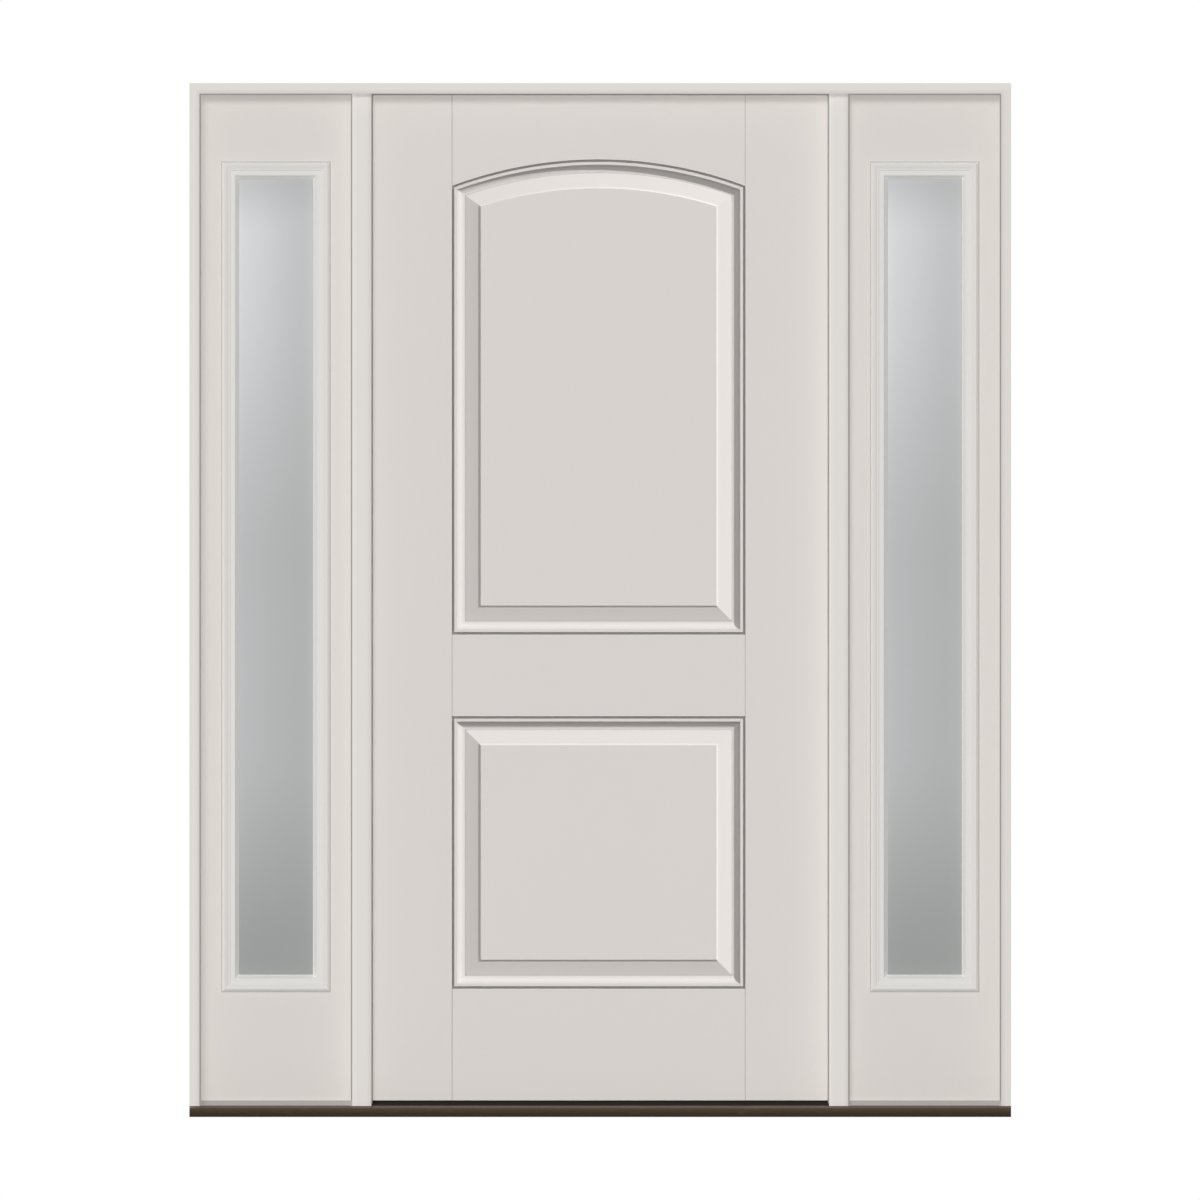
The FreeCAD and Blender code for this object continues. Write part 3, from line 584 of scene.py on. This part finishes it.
class DOOR_OT_glazing(bpy.types.Operator):
    """Finish the glass and its spacers and add the soft lips that hold the glass"""

    bl_idname = "door.glazing"
    bl_label = "Glazing"

    def execute(self, context):
        shades = context.scene.door_colours
        lip = context.scene.door_sizes.lip_width
        lip_finish = pliant("glazing_lip", shades.lip, 0.5, 1.5 * MM)
        dress("spacer_metal", brushed("spacer_metal", shades.spacer, (1, 1, 0.02)))
        angle = np.linspace(0, math.pi / 2, 6)
        for side in SIDES:
            panes = [f"{side}_outer_pane", f"{side}_inner_pane"]
            glass = glazed(f"{side}_lite_glass", shades.glass_reflection_light, shades.glass_reflection_dark, *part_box(panes[0]))
            dress("lite_glass", glass, panes)
            for place, pane, outward in (("outside", panes[0], -1), ("inside", panes[1], 1)):
                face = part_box(pane)[0 if outward < 0 else 1].y
                frame_low, frame_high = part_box(f"{side}_{place}_lite_frame")
                sight = lite_sight(f"{side}_{place}_lite_frame")
                inward = np.concatenate([[0], lip * np.sin(angle), [0]])
                depth = face + outward * np.concatenate([[0], lip * np.cos(angle), [0]])
                section = round_rectangle(inward, depth, (frame_low.x + frame_high.x) / 2,
                                          (frame_low.z + frame_high.z) / 2, *sight)
                piece(f"{side}_{place}_glazing_lip", section[None], lip_finish, "frame")
        return {"FINISHED"}


class DOOR_OT_sealant(bpy.types.Operator):
    """Add the fine grey line of sealant round each lite frame, which also stands for the shade along its
    outer edge
    """

    bl_idname = "door.sealant"
    bl_label = "Sealant"

    def execute(self, context):
        wide = context.scene.door_sizes.caulk_width
        # Grey sealant that is also painted shade along the lite frame's outer edge
        finish = pliant("sealant", context.scene.door_colours.caulk_and_edge_shade, 0.5, 1.5 * MM)
        angle = np.linspace(0, math.pi / 2, 6)
        for side in SIDES:
            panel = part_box(f"{side}_sidelight_panel")
            for place, face, outward in (("outside", panel[0].y, -1), ("inside", panel[1].y, 1)):
                low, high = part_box(f"{side}_{place}_lite_frame")
                inward = -np.concatenate([[0], wide * np.cos(angle), [0]])
                depth = face + outward * np.concatenate([[0], 0.6 * wide * np.sin(angle), [0]])
                middle, half = (low + high) / 2, (high - low) / 2
                section = round_rectangle(inward, depth, middle.x, middle.z, half.x, half.z)
                piece(f"{side}_{place}_sealant", section[None], finish, "frame")
        return {"FINISHED"}


def lite_sight(node):
    """Half width and half height of the hole in a lite frame, read from its mesh."""
    mesh = frame["nodes"][node].data
    points = np.empty(len(mesh.vertices) * 3, np.float32)
    mesh.vertices.foreach_get("co", points)
    points = points.reshape(-1, 3)
    middle = (points.min(0) + points.max(0)) / 2
    away = np.abs(points - middle)
    return float(away[:, 0].min()), float(away[:, 2].min())


class DOOR_OT_lite_plugs(bpy.types.Operator):
    """Add the screw plugs of the inside lite frames"""

    bl_idname = "door.lite_plugs"
    bl_label = "Lite frame plugs"

    def execute(self, context):
        sizes = context.scene.door_sizes
        finish = moulded("lite_plug", context.scene.door_colours.lite)
        radii = np.array((0, 0.5, 0.85, 1, 1, 0)) * sizes.plug_radius
        heights = np.array((1, 0.95, 0.7, 0.2, -2, -2)) * sizes.plug_rise
        plug = facing(revolved(radii, heights), (0, 1, 0))
        flat = 21 * MM
        flat_height = 3 * MM
        margin = 90 * MM
        for side in SIDES:
            low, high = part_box(f"{side}_inside_lite_frame")
            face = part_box(f"{side}_sidelight_panel")[1].y + flat_height
            levels = np.linspace(low.z + margin, high.z - margin, sizes.plugs_high)
            places = [(x, face, z) for x in (low.x + flat, high.x - flat) for z in levels]
            places += [((low.x + high.x) / 2, face, z) for z in (low.z + flat, high.z - flat)]
            piece(f"{side}_lite_plugs", set_at(plug, places), finish, "frame")
        return {"FINISHED"}


class DOOR_OT_sill(bpy.types.Operator):
    """Finish the sill and add its ribs and the height screws of the threshold cap"""

    bl_idname = "door.sill"
    bl_label = "Sill"

    def execute(self, context):
        shades = context.scene.door_colours
        sizes = context.scene.door_sizes
        deck_low, deck_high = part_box("sill_deck")
        bronze = anodised("bronze_sill", shades.bronze, shades.worn_bronze, deck_low.y)
        dress("bronze_sill", bronze)
        dress("sill_composite", pliant("sill_composite", shades.core, 0.6, 1.2 * MM))
        cap_finish = pliant("threshold_composite", shades.cap, 0.6, 1.0 * MM, 0.0)
        dress("threshold_composite", cap_finish)
        dress("filler_grey", pliant("filler_grey", shades.filler, 0.5, 1.0 * MM))

        gap = 4 * MM
        jamb_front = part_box("left_jamb")[0].y
        first = jamb_front + 2 * gap
        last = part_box("threshold_cap")[0].y - gap
        rows = np.arange(first, last, sizes.tread_pitch)
        edges = [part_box(node) for node in ("left_jamb", "left_mullion", "right_mullion", "right_jamb")]
        ribs = []
        for before, after in zip(edges, edges[1:]):
            for y in rows:
                section = half_round(sizes.tread_width, sizes.tread_rise, y, deck_high.z)
                ribs.append(bar(section, 0, before[1].x + gap, after[0].x - gap))
        piece("sill_treads", np.stack(ribs), bronze, "frame")

        cap_low, cap_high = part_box("threshold_cap")
        spots = np.linspace(cap_low.x, cap_high.x, 2 * sizes.adjusters + 1)[1::2]
        places = [(x, (cap_low.y + cap_high.y) / 2, cap_high.z) for x in spots]
        head = screw_head(sizes.adjuster_radius, sizes.adjuster_rise)
        piece("threshold_adjusters", set_at(head, places), cap_finish, "frame")
        return {"FINISHED"}


class DOOR_OT_seals(bpy.types.Operator):
    """Finish the foam seals and the sweep and add the sweep's fins"""

    bl_idname = "door.seals"
    bl_label = "Seals"

    def execute(self, context):
        shades = context.scene.door_colours
        sizes = context.scene.door_sizes
        dress("seal_foam", pliant("seal_foam", shades.seal, 0.6, 0.8 * MM))
        rubber = pliant("sweep_rubber", shades.rubber, 0.55, 0.6 * MM)
        dress("sweep_rubber", rubber)

        low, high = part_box("door_sweep")
        drop = low.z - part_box("sill_deck")[1].z - sizes.fin_gap
        margin = 4 * MM
        behind_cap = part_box("threshold_cap")[1].y + margin
        fins = []
        for y in np.linspace(behind_cap, high.y - margin, sizes.fins):
            section = half_round(sizes.fin_width, -drop, y, low.z)
            fins.append(bar(section, 0, low.x, high.x))
        piece("sweep_fins", np.stack(fins), rubber, "door_leaf")
        return {"FINISHED"}


class DOOR_OT_hinges(bpy.types.Operator):
    """Finish the hinges and add their screws and the crowns of their pins"""

    bl_idname = "door.hinges"
    bl_label = "Hinges"

    def execute(self, context):
        sizes = context.scene.door_sizes
        steel = context.scene.door_colours.steel
        dress("hinge_steel", brushed("hinge_steel", steel, (1, 1, 0.03)))
        finish = brushed("screw_steel", steel, (1, 1, 1))
        head = screw_head(sizes.screw_radius, sizes.screw_rise)
        near, far, margin = 11 * MM, 25 * MM, 15 * MM
        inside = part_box("left_mullion")[1].y
        for owner, body, side in (("frame", "frame", 1), ("door", "door_leaf", -1)):
            shape = facing(head, (side, 0, 0))
            face = hinge_face(owner)
            places = []
            for hinge in HINGES:
                low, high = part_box(f"{hinge}_hinge_{owner}_leaf")
                levels = np.linspace(low.z + margin, high.z - margin, sizes.hinge_screws)
                for k, z in enumerate(levels):
                    places.append((face, inside - (near if k % 2 else far), z))
            piece(f"{owner}_hinge_screws", set_at(shape, places), finish, body)
        self.add_crowns(sizes.crown_rise, finish)
        return {"FINISHED"}

    def add_crowns(self, rise, finish):
        """Round both ends of each hinge pin: r = R cos a and h = rise sin a, closed inside the pin."""
        angle = np.linspace(math.pi / 2, 0, 9)
        domes = []
        for hinge in HINGES:
            low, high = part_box(f"{hinge}_hinge_pin")
            middle, radius = (low + high) / 2, 0.49 * (high.x - low.x)
            dome = revolved([*(radius * np.cos(angle)), radius, 0], [*(rise * np.sin(angle)), -rise, -rise])
            domes.append(dome + np.array((middle.x, middle.y, high.z)))
            domes.append(facing(dome, (0, 0, -1)) + np.array((middle.x, middle.y, low.z)))
        piece("hinge_pin_crowns", np.stack(domes), finish, "frame")


def hinge_face(owner):
    """X of the open face of the hinge leaves that a body carries."""
    if owner == "door":
        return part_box("hinge_stile")[0].x
    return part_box("hinge_side_weatherstrip")[0].x


def key_light(name, strength, receivers, blockers=None, spread=None, glossy=False):
    """A light from its own direction; strength is the share of white on a face turned to it.

    With a spread, in degrees across and up, it is an oval soft box, and without one a sun. Only its
    blockers throw shadows, and with none given nothing does.
    """
    aim = Vector(AIMS[name]).normalized()
    light = bpy.data.lights.new(name, "AREA" if spread else "SUN")
    light.energy = strength * math.pi
    if spread:
        light.shape = "ELLIPSE"
        halves = [math.tan(math.radians(angle / 2)) for angle in spread]
        light.size, light.size_y = (2 * SOFT_BOX_REACH * half for half in halves)
        light.energy *= math.pi * SOFT_BOX_REACH ** 2
    light.use_shadow = blockers is not None
    item = bpy.data.objects.new(name, light)
    item.location = Vector((0, 0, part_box("left_jamb")[1].z / 2)) + SOFT_BOX_REACH * aim
    item.rotation_euler = aim.to_track_quat("Z", "Y").to_euler()
    item.visible_camera = False
    item.visible_glossy = glossy
    bpy.context.scene.collection.objects.link(item)
    item.light_linking.receiver_collection = gathered(f"{name}_receivers", receivers)
    if blockers is not None:
        item.light_linking.blocker_collection = gathered(f"{name}_blockers", blockers)


def gathered(name, items):
    """A collection of these objects."""
    group = bpy.data.collections.new(name)
    for item in items:
        group.objects.link(item)
    return group


def riders(body):
    """Meshes that ride on a body."""
    return [item for item in frame["bodies"][body].children if item.type == "MESH"]


class DOOR_OT_stage(bpy.types.Operator):
    """Set the camera, the studio light and the floor"""

    bl_idname = "door.stage"
    bl_label = "Stage"

    def execute(self, context):
        scene = context.scene
        stage = scene.door_stage
        scene.view_settings.view_transform = "Standard"
        scene.view_settings.look = "None"
        self.add_camera(scene, stage)
        self.add_surround(scene, stage)
        self.add_lights(stage, self.add_floor(scene))
        return {"FINISHED"}

    def add_camera(self, scene, stage):
        camera = bpy.data.cameras.new("camera")
        camera.type = "ORTHO"
        camera.ortho_scale = stage.view_width
        item = bpy.data.objects.new("camera", camera)
        item.location = (stage.view_x, -stage.camera_distance, stage.view_z)
        item.rotation_euler = (math.pi / 2, 0, 0)
        scene.collection.objects.link(item)
        scene.camera = item

    def add_surround(self, scene, stage):
        """White behind the door, grey in its reflections and dim as a light."""
        world = bpy.data.worlds.new("studio")
        world.use_nodes = True
        scene.world = world
        tree = Finish(world.node_tree)
        seen = tree.node("ShaderNodeLightPath", output="Is Camera Ray")
        mirrored = tree.node("ShaderNodeLightPath", output="Is Glossy Ray")
        strength = stage.surround + (1 - stage.surround) * seen + stage.reflections * mirrored
        light = tree.node("ShaderNodeBackground", None, {"Color": (1, 1, 1, 1), "Strength": strength})
        tree.node("ShaderNodeOutputWorld", None, {"Surface": light})

    def add_lights(self, stage, floor):
        """Each key lights its own pieces, so that leaf, lites and sill all show their relief."""
        leaf = riders("door_leaf")
        fixed = riders("frame")
        sill = [item for item in fixed if item.name in SILL_PIECES]
        glass = [item for item in fixed if item.name.endswith("pane")]
        lites = [item for item in fixed if "lite_frame" in item.name or "glazing_lip" in item.name]
        right = [frame["nodes"]["right_jamb"]]
        rest = [item for item in fixed if item not in sill + glass + lites + right]
        hidden = [item for item in rest if item.name.endswith(IN_REBATES)]
        members = [frame["nodes"][name] for name in FRAME_MEMBERS]
        panels = [frame["nodes"][name] for name in LEAF_PANELS]
        boards = [item for item in leaf if item not in panels]
        shaded = [item for item in leaf + rest + right if item not in hidden] + [floor]
        everything = leaf + fixed + [floor]
        key_light("reveal_key", stage.reveal_key, shaded, members, WIDE_BOX)
        key_light("leaf_key", stage.leaf_key, boards, leaf)
        key_light("panel_key", stage.panel_key, panels, panels)
        key_light("frame_key", stage.frame_key, rest)
        key_light("right_key", stage.frame_key, right)
        key_light("lite_key", stage.lite_key, lites)
        key_light("lite_fill", stage.lite_fill, lites)
        key_light("glass_key", stage.glass_key, glass)
        key_light("sill_key", stage.sill_key, sill)
        key_light("inside_key", stage.inside_key, everything, everything, ROUND_BOX, True)
        key_light("open_key", stage.open_key, leaf, everything)

    def add_floor(self, scene):
        material, finish = new_finish("studio_floor")
        shade = scene.door_colours.floor
        cloud = finish.noise(finish.place(), 0.8)
        finish.surface({
            "Base Color": finish.mix(opaque(shade, 0.98), opaque(shade, 1.02), cloud),
            "Roughness": 0.7,
        })
        reach = 6.0
        low = -0.5 * MM
        mesh = bpy.data.meshes.new("floor")
        corners = [(-reach, -reach, low), (reach, -reach, low), (reach, reach, low), (-reach, reach, low)]
        mesh.from_pydata(corners, [], [(0, 1, 2, 3)])
        mesh.materials.append(material)
        floor = bpy.data.objects.new("floor", mesh)
        floor.visible_diffuse = False
        floor.visible_shadow = False
        scene.collection.objects.link(floor)
        return floor


OPERATORS = (
    DOOR_OT_paintwork,
    DOOR_OT_joint_lines,
    DOOR_OT_glazing,
    DOOR_OT_sealant,
    DOOR_OT_lite_plugs,
    DOOR_OT_sill,
    DOOR_OT_seals,
    DOOR_OT_hinges,
    DOOR_OT_stage,
)
GROUPS = {"door_colours": DoorColours, "door_sizes": DoorSizes, "door_stage": DoorStage}


class DOOR_PT_sidebar(bpy.types.Panel):
    """The finishes and fittings of the door"""

    bl_idname = "DOOR_PT_sidebar"
    bl_label = "Door with sidelights"
    bl_space_type = "VIEW_3D"
    bl_region_type = "UI"
    bl_category = "Door"

    def draw(self, context):
        for operator in OPERATORS:
            self.layout.operator(operator.bl_idname)
        for group, kind in GROUPS.items():
            box = self.layout.box()
            for name in kind.__annotations__:
                box.prop(getattr(context.scene, group), name)


def register():
    for kind in (*GROUPS.values(), *OPERATORS, DOOR_PT_sidebar):
        bpy.utils.register_class(kind)
    for name, kind in GROUPS.items():
        setattr(bpy.types.Scene, name, PointerProperty(type=kind))


def unregister():
    for name in GROUPS:
        delattr(bpy.types.Scene, name)
    for kind in (DOOR_PT_sidebar, *reversed(OPERATORS), *reversed(GROUPS.values())):
        bpy.utils.unregister_class(kind)


def main():
    register()
    bpy.ops.door.paintwork()
    bpy.ops.door.joint_lines()
    bpy.ops.door.glazing()
    bpy.ops.door.sealant()
    bpy.ops.door.lite_plugs()
    bpy.ops.door.sill()
    bpy.ops.door.seals()
    bpy.ops.door.hinges()
    bpy.ops.door.stage()


if __name__ == "__main__":
    main()
